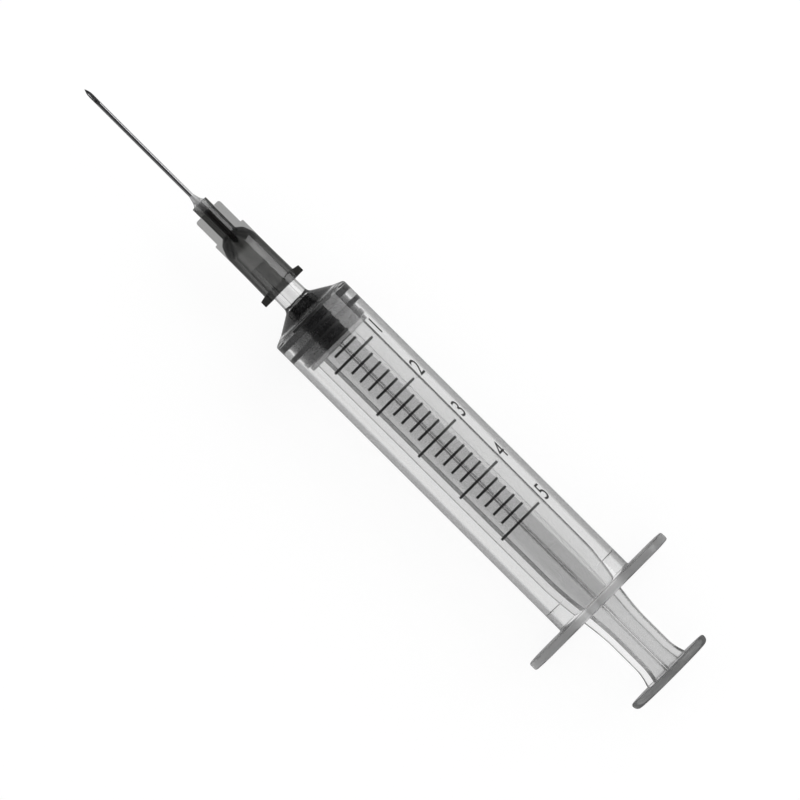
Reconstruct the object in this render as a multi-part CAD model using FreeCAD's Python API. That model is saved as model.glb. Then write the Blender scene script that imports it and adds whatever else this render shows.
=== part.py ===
import FreeCAD, Part

import math
import os

# A disposable 5 ml syringe with its needle fitted and its plunger pushed home.
# It lies on one flat of its finger flange, needle tip towards -X, thumb disc towards +X.
# Stations along the syringe are counted from the needle tip. All lengths are millimetres,
# all angles are degrees, and a name ending in _R is a radius.

# Needle tube, ground to a three-facet point that faces up
NEEDLE_OD = 0.70
NEEDLE_ID = 0.42
NEEDLE_EXPOSED = 23.8
NEEDLE_SEAT = 7.4
BEVEL_ANGLE = 12.0
SIDE_GRIND_ANGLE = 20.0
SIDE_GRIND_ROLL = 35.0

# Adhesive that holds the tube in the hub: a cone in front, a well behind
GLUE_CONE_LENGTH = 1.6
GLUE_LIP = 0.04
GLUE_FACE_R = 0.98
GLUE_WELL_DEPTH = 1.5
GLUE_WELL_FLOOR_R = 0.55

# Luer joint between the nozzle and the hub; the taper is diameter over length
LUER_TAPER = 0.06
LUER_MOUTH_D = 4.29
LUER_SOCKET_DEPTH = 8.3
LUER_FIT = 0.02
NOZZLE_LENGTH = 7.7
NOZZLE_SHOWING = 2.5
NOZZLE_CHANNEL_D = 2.0
NOZZLE_TIP_EDGE = 0.15
NOZZLE_ROOT_FILLET = 1.0

# Needle hub
HUB_LENGTH = 17.8
HUB_WALL = 0.80
HUB_DRAFT = 0.017
HUB_BOSS_R = 1.35
HUB_BOSS_LENGTH = 6.2
HUB_SHOULDER_LENGTH = 2.7
HUB_SHOULDER_ROUND = 2.0
HUB_THROAT_R = 0.75
COLLAR_LENGTH = 1.25
COLLAR_RISE = 0.20
LUG_SPAN = 7.76
LUG_WIDTH = 3.4
LUG_BEVEL = 0.20
FIN_THICKNESS = 0.85
FIN_START = 1.7
FIN_LOW_R = 2.42
FIN_HIGH_R = 2.86
FIN_END = 13.2
FIN_ROUND = 0.4

# Barrel with its shoulder, bore and finger flange
BORE_D = 12.1
BARREL_WALL = 0.95
BARREL_LENGTH = 61.9
SHOULDER_FOOT_R = 2.55
SHOULDER_CONE_LENGTH = 1.7
SHOULDER_CONE_RISE = 2.8
SHOULDER_RIM_LENGTH = 0.6
SHOULDER_RIM_BEVEL = 0.25
FLOOR_THICKNESS = 0.65
FLOOR_CONE_LENGTH = 2.25
BEAD_HEIGHT = 0.08
BEAD_FROM_FLANGE = 3.1
BEAD_FACE_LENGTH = 0.12
ENTRY_RISE = 0.30
FLANGE_SPAN = 27.4
FLANGE_THICKNESS = 1.4
FLANGE_SIDE_MARGIN = 0.85
FLANGE_CORNER_ROUND = 2.5
FLANGE_EDGE_BEVEL = 0.3
FLANGE_ROOT_CLEAR = 0.1

# Rubber stopper
STOPPER_FLOOR_GAP = 0.15
STOPPER_FIT = 0.03
STOPPER_TIP_R = 0.9
STOPPER_LENGTH = 7.5
STOPPER_WAIST_DEPTH = 0.28
STOPPER_RIB_RAMP = 0.15
SEAL_RIBS = ((2.45, 1.0), (4.7, 0.8))
GUIDE_RIB = (6.6, 0.75)
GUIDE_RIB_DROP = 0.1

# Plunger rod: a head that snaps into the stopper, a crossed rod and a thumb disc
SWIVEL_FIT = 0.05
NECK_R = 2.3
NECK_LENGTH = 1.75
BULB_R = 3.3
BULB_LAND = 0.6
BULB_NOSE_R = 1.6
BULB_NOSE_LENGTH = 1.9
HEAD_DISC_R = 5.6
HEAD_DISC_THICKNESS = 0.75
ROD_LENGTH = 67.7
RIB_THICKNESS = 0.70
RIB_BORE_GAP = 0.50
RIB_DRAFT = 0.003
RIB_ROOT_FILLET = 0.20
RIB_TURN = 57.0
WAIST_R = 3.73
SWEEP_LENGTH = 14.4
SWEEP_EASE = 7.2
WAIST_TO_THUMB = 7.5
GRIP_FLARE_LENGTH = 3.1
GRIP_FLARE_RISE = 0.8
THUMB_THICKNESS = 1.3
THUMB_FLOOR_GAP = 0.45
THUMB_FRONT_EDGE = 0.3
THUMB_REAR_ROUND = 0.85

# Radii that follow from the sizes above
NEEDLE_R = NEEDLE_OD / 2
LUER_MOUTH_R = LUER_MOUTH_D / 2
LUER_SLOPE = LUER_TAPER / 2
LUER_FLOOR_R = LUER_MOUTH_R - LUER_SLOPE * LUER_SOCKET_DEPTH
NOZZLE_MOUTH_R = LUER_MOUTH_R - LUER_FIT
NOZZLE_TIP_R = NOZZLE_MOUTH_R - LUER_SLOPE * (NOZZLE_LENGTH - NOZZLE_SHOWING)
NOZZLE_ROOT_R = NOZZLE_MOUTH_R + LUER_SLOPE * NOZZLE_SHOWING
CHANNEL_R = NOZZLE_CHANNEL_D / 2
HUB_R = LUER_MOUTH_R + HUB_WALL
BORE_R = BORE_D / 2
BARREL_R = BORE_R + BARREL_WALL
FLANGE_HALF_WIDTH = BARREL_R + FLANGE_SIDE_MARGIN
FLANGE_ROOT = FLANGE_SIDE_MARGIN - FLANGE_EDGE_BEVEL - FLANGE_ROOT_CLEAR
STOPPER_R = BORE_R - STOPPER_FIT
RIB_FRONT_R = BORE_R - RIB_BORE_GAP
THUMB_R = FLANGE_HALF_WIDTH - THUMB_FLOOR_GAP

# Stations that follow from the sizes above
HUB_FACE = NEEDLE_EXPOSED
TUBE_END = HUB_FACE + NEEDLE_SEAT
GLUE_FRONT = HUB_FACE - GLUE_CONE_LENGTH
HUB_MOUTH = HUB_FACE + HUB_LENGTH
NOZZLE_ROOT = HUB_MOUTH + NOZZLE_SHOWING
NOZZLE_TIP = NOZZLE_ROOT - NOZZLE_LENGTH
BORE_FLOOR = NOZZLE_ROOT + FLOOR_THICKNESS
FLANGE_FRONT = NOZZLE_ROOT + BARREL_LENGTH
FLANGE_REAR = FLANGE_FRONT + FLANGE_THICKNESS
STOPPER_FRONT = BORE_FLOOR + STOPPER_FLOOR_GAP
STOPPER_REAR = STOPPER_FRONT + STOPPER_LENGTH
HEAD_DISC_FRONT = STOPPER_REAR + SWIVEL_FIT
ROD_FRONT = HEAD_DISC_FRONT + HEAD_DISC_THICKNESS
THUMB_FRONT = ROD_FRONT + ROD_LENGTH
THUMB_REAR = THUMB_FRONT + THUMB_THICKNESS

ORIGIN = FreeCAD.Vector(0, 0, 0)
ALONG = FreeCAD.Vector(1, 0, 0)
ACROSS = FreeCAD.Vector(0, 1, 0)
TINY = 1e-6


def outline(points):
    """Flat closed wire through (x, y, corner radius) points, with tangent arcs at rounded corners."""
    runs = []
    arcs = []
    for index, (x, y, radius) in enumerate(points):
        corner = FreeCAD.Vector(x, y, 0)
        before = FreeCAD.Vector(points[index - 1][0], points[index - 1][1], 0)
        after_point = points[(index + 1) % len(points)]
        after = FreeCAD.Vector(after_point[0], after_point[1], 0)
        if radius == 0:
            runs.append((corner, corner))
            arcs.append(None)
            continue
        back = (before - corner).normalize()
        ahead = (after - corner).normalize()
        half_turn = (math.pi - back.getAngle(ahead)) / 2
        setback = radius * math.tan(half_turn)
        entry = corner + back * setback
        leave = corner + ahead * setback
        runs.append((entry, leave))
        inward = (back + ahead).normalize()
        centre = corner + inward * (radius / math.cos(half_turn))
        arcs.append(Part.Arc(entry, centre - inward * radius, leave).toShape())
    edges = []
    for index, (entry, leave) in enumerate(runs):
        if arcs[index]:
            edges.append(arcs[index])
        following = runs[(index + 1) % len(runs)][0]
        if leave.distanceToPoint(following) > TINY:
            edges.append(Part.LineSegment(leave, following).toShape())
    return Part.Wire(edges)


def turned(points):
    """Solid of revolution about the syringe's axis from (station, radius, corner radius) points."""
    return Part.Face(outline(points)).revolve(ORIGIN, ALONG, 360)


def plate(wire, thickness, roll):
    """Flat wire made a plate of even thickness about the axis plane, then rolled about the axis."""
    lifted = wire.copy()
    lifted.translate(FreeCAD.Vector(0, 0, -thickness / 2))
    solid = Part.Face(lifted).extrude(FreeCAD.Vector(0, 0, thickness))
    solid.rotate(ORIGIN, ALONG, roll)
    return solid


def needle_cannula():
    """Steel tube, ground once flat and then on both sides to a sharp centre point."""
    tube = turned((
        (0, NEEDLE_ID / 2, 0),
        (0, NEEDLE_R, 0),
        (TUBE_END, NEEDLE_R, 0),
        (TUBE_END, NEEDLE_ID / 2, 0),
    ))
    point = FreeCAD.Vector(0, 0, -NEEDLE_R)
    wheel_size = NEEDLE_OD / math.sin(math.radians(BEVEL_ANGLE)) * 2
    wheel_corner = FreeCAD.Vector(-wheel_size / 2, -wheel_size / 2, 0)
    for angle, roll in (
        (BEVEL_ANGLE, 0),
        (SIDE_GRIND_ANGLE, SIDE_GRIND_ROLL),
        (SIDE_GRIND_ANGLE, -SIDE_GRIND_ROLL),
    ):
        wheel = Part.makeBox(wheel_size * 1.5, wheel_size, wheel_size, wheel_corner)
        wheel.rotate(ORIGIN, ACROSS, -angle)
        wheel.rotate(ORIGIN, ALONG, roll)
        wheel.translate(point)
        tube = tube.cut(wheel)
    return tube


def needle_adhesive():
    """Clear glue: a cone creeping along the tube and a plug in the well of the hub's face."""
    return turned((
        (GLUE_FRONT, NEEDLE_R, 0),
        (GLUE_FRONT, NEEDLE_R + GLUE_LIP, 0),
        (HUB_FACE, GLUE_FACE_R, 0),
        (HUB_FACE + GLUE_WELL_DEPTH, GLUE_WELL_FLOOR_R, 0),
        (HUB_FACE + GLUE_WELL_DEPTH, NEEDLE_R, 0),
    ))


def hub_fins():
    """Four stepped fins on the boss that run out along the hub's body."""
    fin = outline((
        (HUB_FACE + FIN_START, 0, 0),
        (HUB_FACE + FIN_START, FIN_LOW_R, FIN_ROUND),
        (HUB_FACE + HUB_BOSS_LENGTH, FIN_LOW_R, 0),
        (HUB_FACE + HUB_BOSS_LENGTH, FIN_HIGH_R, FIN_ROUND / 2),
        (HUB_FACE + FIN_END, FIN_HIGH_R, 0),
        (HUB_FACE + FIN_END, 0, 0),
    ))
    return [plate(fin, FIN_THICKNESS, roll) for roll in (0, 90, 180, 270)]


def hub_lugs():
    """Two lugs that a locking collar would grip, with bevelled fronts."""
    front = HUB_MOUTH - COLLAR_LENGTH
    ring = turned((
        (front, 0, 0),
        (front, HUB_R, 0),
        (front + LUG_BEVEL, LUG_SPAN / 2, 0),
        (HUB_MOUTH, LUG_SPAN / 2, 0),
        (HUB_MOUTH, 0, 0),
    ))
    corner = FreeCAD.Vector(front, -LUG_SPAN, -LUG_WIDTH / 2)
    band = Part.makeBox(COLLAR_LENGTH, LUG_SPAN * 2, LUG_WIDTH, corner)
    return ring.common(band)


def needle_hub():
    """Moulded hub: glued boss, rounded shoulder, finned body, lugged mouth and tapered socket."""
    body_start = HUB_FACE + HUB_BOSS_LENGTH + HUB_SHOULDER_LENGTH
    body_start_r = HUB_R - HUB_DRAFT * (HUB_MOUTH - body_start)
    collar_front = HUB_MOUTH - COLLAR_LENGTH
    body_end_r = HUB_R - HUB_DRAFT * COLLAR_LENGTH
    body = turned((
        (HUB_FACE, 0, 0),
        (HUB_FACE, HUB_BOSS_R, 0),
        (HUB_FACE + HUB_BOSS_LENGTH, HUB_BOSS_R, 0),
        (body_start - HUB_SHOULDER_ROUND / 2, body_start_r, HUB_SHOULDER_ROUND),
        (collar_front, body_end_r, 0),
        (collar_front, HUB_R + COLLAR_RISE, 0),
        (HUB_MOUTH, HUB_R + COLLAR_RISE, 0),
        (HUB_MOUTH, 0, 0),
    ))
    body = body.fuse(hub_fins() + [hub_lugs()])
    socket_floor = HUB_MOUTH - LUER_SOCKET_DEPTH
    hollow = turned((
        (HUB_FACE, 0, 0),
        (HUB_FACE, GLUE_FACE_R, 0),
        (HUB_FACE + GLUE_WELL_DEPTH, GLUE_WELL_FLOOR_R, 0),
        (HUB_FACE + GLUE_WELL_DEPTH, NEEDLE_R, 0),
        (TUBE_END, NEEDLE_R, 0),
        (TUBE_END, HUB_THROAT_R, 0),
        (socket_floor, LUER_FLOOR_R, 0),
        (HUB_MOUTH, LUER_MOUTH_R, 0),
        (HUB_MOUTH, 0, 0),
    ))
    return body.cut(hollow).removeSplitter()


def finger_flange():
    """Flange plate: a disc with two flats, rounded corners and bevelled rims."""
    disc = Part.makeCylinder(FLANGE_SPAN / 2, FLANGE_THICKNESS, FreeCAD.Vector(FLANGE_FRONT, 0, 0), ALONG)
    corner = FreeCAD.Vector(FLANGE_FRONT, -FLANGE_SPAN, -FLANGE_HALF_WIDTH)
    slab = disc.common(Part.makeBox(FLANGE_THICKNESS, FLANGE_SPAN * 2, FLANGE_HALF_WIDTH * 2, corner))
    corners = [edge for edge in slab.Edges if runs_along(edge)]
    slab = slab.makeFillet(FLANGE_CORNER_ROUND, corners)
    rims = [edge for edge in slab.Edges if not runs_along(edge)]
    return slab.makeChamfer(FLANGE_EDGE_BEVEL, rims)


def runs_along(edge):
    """True for an edge parallel to the syringe's axis."""
    first = edge.Vertexes[0].Point
    last = edge.Vertexes[-1].Point
    return (last - first).cross(ALONG).Length < TINY and abs(last.x - first.x) > TINY


def barrel():
    """One clear moulding: luer nozzle, shoulder, cylinder, retaining bead and finger flange."""
    cone_start = NOZZLE_ROOT + FLOOR_THICKNESS / 2
    cone_end = cone_start + SHOULDER_CONE_LENGTH
    rim_end = cone_end + SHOULDER_RIM_LENGTH
    flange_middle = FLANGE_FRONT + FLANGE_THICKNESS / 2
    outside = turned((
        (NOZZLE_TIP, 0, 0),
        (NOZZLE_TIP, NOZZLE_TIP_R - NOZZLE_TIP_EDGE, 0),
        (NOZZLE_TIP + NOZZLE_TIP_EDGE, NOZZLE_TIP_R + LUER_SLOPE * NOZZLE_TIP_EDGE, 0),
        (NOZZLE_ROOT, NOZZLE_ROOT_R, NOZZLE_ROOT_FILLET),
        (cone_start, SHOULDER_FOOT_R, 0),
        (cone_end, SHOULDER_FOOT_R + SHOULDER_CONE_RISE, 0),
        (rim_end, BARREL_R - SHOULDER_RIM_BEVEL, 0),
        (rim_end + SHOULDER_RIM_BEVEL, BARREL_R, 0),
        (FLANGE_FRONT - FLANGE_ROOT, BARREL_R, 0),
        (FLANGE_FRONT, BARREL_R + FLANGE_ROOT, 0),
        (flange_middle, BARREL_R + FLANGE_ROOT, 0),
        (flange_middle, 0, 0),
    ))
    bead = FLANGE_FRONT - BEAD_FROM_FLANGE
    inside = turned((
        (NOZZLE_TIP, 0, 0),
        (NOZZLE_TIP, CHANNEL_R, 0),
        (BORE_FLOOR, CHANNEL_R, 0),
        (BORE_FLOOR + FLOOR_CONE_LENGTH, BORE_R, 0),
        (bead - BEAD_FACE_LENGTH, BORE_R, 0),
        (bead, BORE_R - BEAD_HEIGHT, 0),
        (FLANGE_REAR, BORE_R + ENTRY_RISE, 0),
        (FLANGE_REAR, 0, 0),
    ))
    return outside.fuse(finger_flange()).cut(inside).removeSplitter()


def rib_points(rib, crest_r, waist_r):
    """Trapezoid of one stopper rib as profile points."""
    start = STOPPER_FRONT + rib[0]
    end = start + rib[1]
    return [
        (start - STOPPER_RIB_RAMP, waist_r, 0),
        (start, crest_r, 0),
        (end, crest_r, 0),
        (end + STOPPER_RIB_RAMP, waist_r, 0),
    ]


def plunger_head(growth):
    """Neck and bulb of the rod's head, grown all round by the swivel clearance for its cavity."""
    neck_front = HEAD_DISC_FRONT - NECK_LENGTH
    bulb_front = neck_front - BULB_LAND
    nose = bulb_front - BULB_NOSE_LENGTH
    return turned((
        (nose - growth, 0, 0),
        (nose - growth, BULB_NOSE_R + growth, 0),
        (bulb_front, BULB_R + growth, 0),
        (neck_front + growth, BULB_R + growth, 0),
        (neck_front + growth, NECK_R + growth, 0),
        (HEAD_DISC_FRONT, NECK_R + growth, 0),
        (HEAD_DISC_FRONT, 0, 0),
    ))


def plunger_stopper():
    """Rubber stopper: coned face, two sealing ribs, one guide rib and a cavity for the rod's head."""
    waist_r = STOPPER_R - STOPPER_WAIST_DEPTH
    points = [(STOPPER_FRONT, 0, 0), (STOPPER_FRONT, STOPPER_TIP_R, 0)]
    first = rib_points(SEAL_RIBS[0], STOPPER_R, waist_r)
    points += first[1:]
    for rib in SEAL_RIBS[1:]:
        points += rib_points(rib, STOPPER_R, waist_r)
    points += rib_points(GUIDE_RIB, STOPPER_R - GUIDE_RIB_DROP, waist_r)
    points += [(STOPPER_REAR, waist_r, 0), (STOPPER_REAR, 0, 0)]
    return turned(points).cut(plunger_head(SWIVEL_FIT))


def rod_blade(roll):
    """One of the two crossed plates: drafted ribs that sweep down to a waist and flare at the grip."""
    drafted = ROD_LENGTH - WAIST_TO_THUMB - SWEEP_LENGTH
    front = FreeCAD.Vector(ROD_FRONT, RIB_FRONT_R, 0)
    shoulder = FreeCAD.Vector(ROD_FRONT + drafted, RIB_FRONT_R - RIB_DRAFT * drafted, 0)
    waist = FreeCAD.Vector(THUMB_FRONT - WAIST_TO_THUMB, WAIST_R, 0)
    flare = FreeCAD.Vector(THUMB_FRONT - GRIP_FLARE_LENGTH, WAIST_R, 0)
    grip = FreeCAD.Vector(THUMB_FRONT, WAIST_R + GRIP_FLARE_RISE, 0)
    ease = FreeCAD.Vector(SWEEP_EASE, 0, 0)
    sweep = Part.BezierCurve()
    sweep.setPoles([shoulder, shoulder + ease, waist - ease, waist])
    flaring = Part.BezierCurve()
    flaring.setPoles([flare, FreeCAD.Vector(THUMB_FRONT, WAIST_R, 0), grip])
    top = [
        Part.LineSegment(front, shoulder).toShape(),
        sweep.toShape(),
        Part.LineSegment(waist, flare).toShape(),
        flaring.toShape(),
    ]
    bottom = [edge.rotated(ORIGIN, ALONG, 180) for edge in top]
    front_end = Part.LineSegment(FreeCAD.Vector(front.x, -front.y, 0), front).toShape()
    rear_end = Part.LineSegment(grip, FreeCAD.Vector(grip.x, -grip.y, 0)).toShape()
    loop = Part.Wire(Part.__sortEdges__(top + bottom + [front_end, rear_end]))
    return plate(loop, RIB_THICKNESS, roll)


def plunger_rod():
    """One clear moulding: snap-in head, head disc, crossed ribs with filleted roots and thumb disc."""
    cross = rod_blade(0).fuse(rod_blade(90))
    root_r = RIB_THICKNESS / math.sqrt(2)
    roots = [
        edge for edge in cross.Edges
        if runs_along(edge) and abs(math.hypot(edge.Vertexes[0].Y, edge.Vertexes[0].Z) - root_r) < TINY
    ]
    cross = cross.makeFillet(RIB_ROOT_FILLET, roots)
    cross.rotate(ORIGIN, ALONG, 90 - RIB_TURN)
    head_disc = turned((
        (HEAD_DISC_FRONT, 0, 0),
        (HEAD_DISC_FRONT, HEAD_DISC_R, 0),
        (ROD_FRONT, HEAD_DISC_R, 0),
        (ROD_FRONT, 0, 0),
    ))
    thumb_disc = turned((
        (THUMB_FRONT, 0, 0),
        (THUMB_FRONT, THUMB_R - THUMB_FRONT_EDGE, 0),
        (THUMB_FRONT + THUMB_FRONT_EDGE, THUMB_R, 0),
        (THUMB_REAR, THUMB_R, THUMB_REAR_ROUND),
        (THUMB_REAR, 0, 0),
    ))
    return cross.fuse([head_disc, plunger_head(0), thumb_disc]).removeSplitter()


PIECES = {
    "needle_cannula": needle_cannula,
    "needle_adhesive": needle_adhesive,
    "needle_hub": needle_hub,
    "barrel": barrel,
    "plunger_stopper": plunger_stopper,
    "plunger_rod": plunger_rod,
}


def main():
    """Builds each piece on the syringe's own axis and sets it down on the flange's flat."""
    os.makedirs("parts", exist_ok=True)
    lying = FreeCAD.Vector(-THUMB_REAR / 2, 0, FLANGE_HALF_WIDTH)
    for name, make in PIECES.items():
        piece = make()
        piece.translate(lying)
        solid = piece.Solids[0]
        box = solid.BoundBox
        print(
            f"{name}: {len(piece.Solids)} solid, {solid.Volume:.2f} mm3, "
            f"x {box.XMin:.2f} to {box.XMax:.2f}, valid {solid.isValid()}"
        )
        solid.exportStep(f"parts/{name}.step")


main()
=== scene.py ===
# %% [markdown]
# # Syringe with needle
# A clear disposable syringe of 5 ml lies on the flat of its finger flange, with a dark needle
# hub in front and a crossed plunger rod behind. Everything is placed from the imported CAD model,
# so this first cell loads it. Lengths are metres; MM turns the part's millimetres into them.
# Points closer than WELD count as one.

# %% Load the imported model
import math

import bmesh
import bpy
from mathutils import Matrix, Vector


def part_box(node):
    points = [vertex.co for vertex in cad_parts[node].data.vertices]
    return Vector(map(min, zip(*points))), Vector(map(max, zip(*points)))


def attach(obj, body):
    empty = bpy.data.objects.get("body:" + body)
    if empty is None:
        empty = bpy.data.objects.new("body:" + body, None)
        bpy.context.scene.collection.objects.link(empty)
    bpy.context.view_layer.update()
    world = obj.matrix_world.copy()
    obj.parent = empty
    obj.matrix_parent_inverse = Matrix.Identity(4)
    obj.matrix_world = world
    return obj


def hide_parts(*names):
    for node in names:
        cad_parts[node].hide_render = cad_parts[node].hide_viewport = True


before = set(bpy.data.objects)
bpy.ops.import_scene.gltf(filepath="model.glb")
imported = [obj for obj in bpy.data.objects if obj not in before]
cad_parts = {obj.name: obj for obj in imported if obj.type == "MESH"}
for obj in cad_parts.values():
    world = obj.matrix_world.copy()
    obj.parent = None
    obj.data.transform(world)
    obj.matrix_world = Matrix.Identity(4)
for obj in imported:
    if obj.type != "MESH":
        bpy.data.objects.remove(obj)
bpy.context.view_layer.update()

MM = 0.001
WELD = 0.001 * MM

# %% [markdown]
# ## Places along the syringe
# All pieces are turned about one axis, so a place is a station along X and a radius. The
# stations where pieces start and end are read from the CAD nodes' boxes, not typed in. The
# few radii that several cells share stand here too.

# %% Stations and the axis
TIP_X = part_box("needle_cannula")[0].x
HUB_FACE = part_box("needle_hub")[0].x
HUB_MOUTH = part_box("needle_hub")[1].x
NOZZLE_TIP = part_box("barrel")[0].x
FLANGE_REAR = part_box("barrel")[1].x
STOPPER_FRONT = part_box("plunger_stopper")[0].x
STOPPER_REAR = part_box("plunger_stopper")[1].x
THUMB_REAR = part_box("plunger_rod")[1].x
TUBE_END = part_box("needle_cannula")[1].x
AXIS_Z = (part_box("barrel")[0].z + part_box("barrel")[1].z) / 2
BARREL_R = 7.0 * MM
BORE_R = 6.05 * MM
FLANGE_R = 13.7 * MM
DISC_RIM_R = 6.3 * MM
print("axis height", round(AXIS_Z / MM, 3), "mm; hub face", round(HUB_FACE / MM, 2))

# %% [markdown]
# ## Camera
# The photograph looks square on at the syringe from the side that carries the scale, from far
# away, so nothing gets smaller towards the back. A long lens of 600 mm gives that look. The
# syringe runs down to the right at 45 degrees, which is the camera's roll about its own line of
# sight.

# %% Camera
def add_object(name, data):
    """New object of some data, linked to the scene."""
    obj = bpy.data.objects.new(name, data)
    bpy.context.scene.collection.objects.link(obj)
    return obj


LENS = 600.0
SENSOR = 36.0
VIEW_WIDTH = 117.65 * MM
VIEW_CENTRE = Vector((4.04 * MM, 0.385 * MM, AXIS_Z))
ROLL_RIGHT = Vector((0.7083, 0.7059, 0.0))
ROLL_UP = Vector((-0.7059, 0.7083, 0.0))

camera_data = bpy.data.cameras.new("camera")
camera_data.lens = LENS
camera_data.sensor_width = SENSOR
camera_data.clip_start = 0.01
camera_data.clip_end = 20.0
camera = add_object("camera", camera_data)
camera_distance = VIEW_WIDTH * LENS / SENSOR
camera.matrix_world = Matrix((
    (ROLL_RIGHT.x, ROLL_UP.x, 0, VIEW_CENTRE.x),
    (ROLL_RIGHT.y, ROLL_UP.y, 0, VIEW_CENTRE.y),
    (0, 0, 1, VIEW_CENTRE.z + camera_distance),
    (0, 0, 0, 1),
))
bpy.context.scene.camera = camera
print("camera stands", round(camera_distance, 3), "m above the syringe")

# %% [markdown]
# ## Node helpers
# Materials and Geometry Nodes trees are both built from nodes. These short helpers add a node
# with its settings and pass its output on, so that each tree below reads as a list of its
# parts. An input takes either a plain value or the socket that feeds it.

# %% Node helpers
def add_node(tree, kind, **settings):
    """New node of a kind, with its properties and its sockets' plain values set."""
    node = tree.nodes.new(kind)
    for key, value in settings.items():
        if hasattr(node, key):
            setattr(node, key, value)
        else:
            node.inputs[key.replace("_", " ")].default_value = value
    return node


def feed(tree, socket, value):
    """Gives an input its value: another socket is linked to it, anything else is set."""
    if isinstance(value, bpy.types.NodeSocket):
        tree.links.new(value, socket)
    else:
        socket.default_value = value


def math_socket(tree, operation, *values):
    """Output of a Math node for the values or sockets given."""
    node = add_node(tree, "ShaderNodeMath", operation=operation)
    for socket, value in zip(node.inputs, values):
        feed(tree, socket, value)
    return node.outputs[0]


def map_socket(tree, value, low, high, low_at=0.0, high_at=1.0, curve="LINEAR"):
    """Output of a Map Range node: low where the value is low_at, high where it is high_at."""
    node = add_node(tree, "ShaderNodeMapRange", interpolation_type=curve)
    names = ("Value", "From Min", "From Max", "To Min", "To Max")
    for name, given in zip(names, (value, low_at, high_at, low, high)):
        feed(tree, node.inputs[name], given)
    return node.outputs["Result"]


def mixed(tree, share, first, second):
    """Output of a Mix Shader node, which shows the second shader as far as the share says."""
    node = add_node(tree, "ShaderNodeMixShader")
    for socket, value in zip(node.inputs, (share, first, second)):
        feed(tree, socket, value)
    return node.outputs[0]


def object_place(tree):
    """Socket with the place in the piece's own coordinates."""
    return add_node(tree, "ShaderNodeTexCoord").outputs["Object"]


def object_noise(tree, scale, detail, stretch=(1.0, 1.0, 1.0)):
    """Socket with noise that stays with the piece, finer along an axis by its stretch."""
    mapping = add_node(tree, "ShaderNodeMapping", Scale=stretch)
    noise = add_node(tree, "ShaderNodeTexNoise", Scale=scale, Detail=detail)
    feed(tree, mapping.inputs["Vector"], object_place(tree))
    feed(tree, noise.inputs["Vector"], mapping.outputs[0])
    return noise.outputs["Fac"]


def new_material(name):
    """Empty node material with its output; returns the material, its tree and the output."""
    material = bpy.data.materials.new(name)
    material.use_nodes = True
    tree = material.node_tree
    tree.nodes.clear()
    output = tree.nodes.new("ShaderNodeOutputMaterial")
    return material, tree, output


# %% [markdown]
# ## Floor and white surroundings
# The photograph is a cut-out on white. Here the syringe lies on a plain pale floor. To the
# camera, and to rays that pass through the clear plastic, the floor is partly its own light
# and partly lit, so it shows white and still keeps the syringe's soft shadow. Clear things on
# white are photographed between dark cards that stand just outside the picture: their mirror
# image draws the dark edges. Here, rays from a shiny surface meet a dimmer floor and room.

# %% Floor
FLOOR_HALF = 3.0
FLOOR_COLOUR = (0.93, 0.93, 0.93, 1)
FLOOR_LIT_SHARE = 0.12
MIRRORED_ROOM = 0.3


def seen_directly(tree):
    """1 for rays from the camera, from a mirror or through glass, and 0 for all others."""
    path = add_node(tree, "ShaderNodeLightPath")
    either = math_socket(tree, "MAXIMUM", path.outputs["Is Camera Ray"],
                         path.outputs["Is Glossy Ray"])
    return math_socket(tree, "MAXIMUM", either, path.outputs["Is Transmission Ray"])


def room_strength(tree):
    """1 for all rays but mirrored ones, which meet the dimmer room of the dark cards."""
    path = add_node(tree, "ShaderNodeLightPath")
    mirrored = math_socket(tree, "GREATER_THAN", path.outputs["Is Glossy Ray"],
                           path.outputs["Is Transmission Ray"])
    return math_socket(tree, "MULTIPLY_ADD", mirrored, MIRRORED_ROOM - 1.0, 1.0)


def floor_material():
    """Pale matt floor that reads as white to the eye and keeps shadows."""
    material, tree, output = new_material("floor_white")
    lit = add_node(tree, "ShaderNodeBsdfDiffuse", Color=FLOOR_COLOUR)
    glow = add_node(tree, "ShaderNodeEmission", Color=(1, 1, 1, 1))
    feed(tree, glow.inputs["Strength"], room_strength(tree))
    share = math_socket(tree, "MULTIPLY", seen_directly(tree), 1 - FLOOR_LIT_SHARE)
    feed(tree, output.inputs["Surface"], mixed(tree, share, lit.outputs[0], glow.outputs[0]))
    return material


floor_mesh = bpy.data.meshes.new("floor")
floor_mesh.from_pydata(
    [(-FLOOR_HALF, -FLOOR_HALF, 0), (FLOOR_HALF, -FLOOR_HALF, 0),
     (FLOOR_HALF, FLOOR_HALF, 0), (-FLOOR_HALF, FLOOR_HALF, 0)],
    [], [(0, 1, 2, 3)],
)
floor_mesh.materials.append(floor_material())
floor = add_object("floor", floor_mesh)
print("floor", 2 * FLOOR_HALF, "m square")

# %% [markdown]
# ## The room
# Diffuse surfaces get even light from all round. The camera, mirrors and clear plastic see a
# room that is white up to well above the horizon and dark overhead, where a photographer hangs
# nothing: that dark patch is what keeps black rubber black and steel grey from above.

# %% World
WORLD_LIGHT = 0.85
OVERHEAD_SHADE = 0.015
DARK_FROM = math.cos(math.radians(36))
WHITE_FROM = math.cos(math.radians(43))

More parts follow.
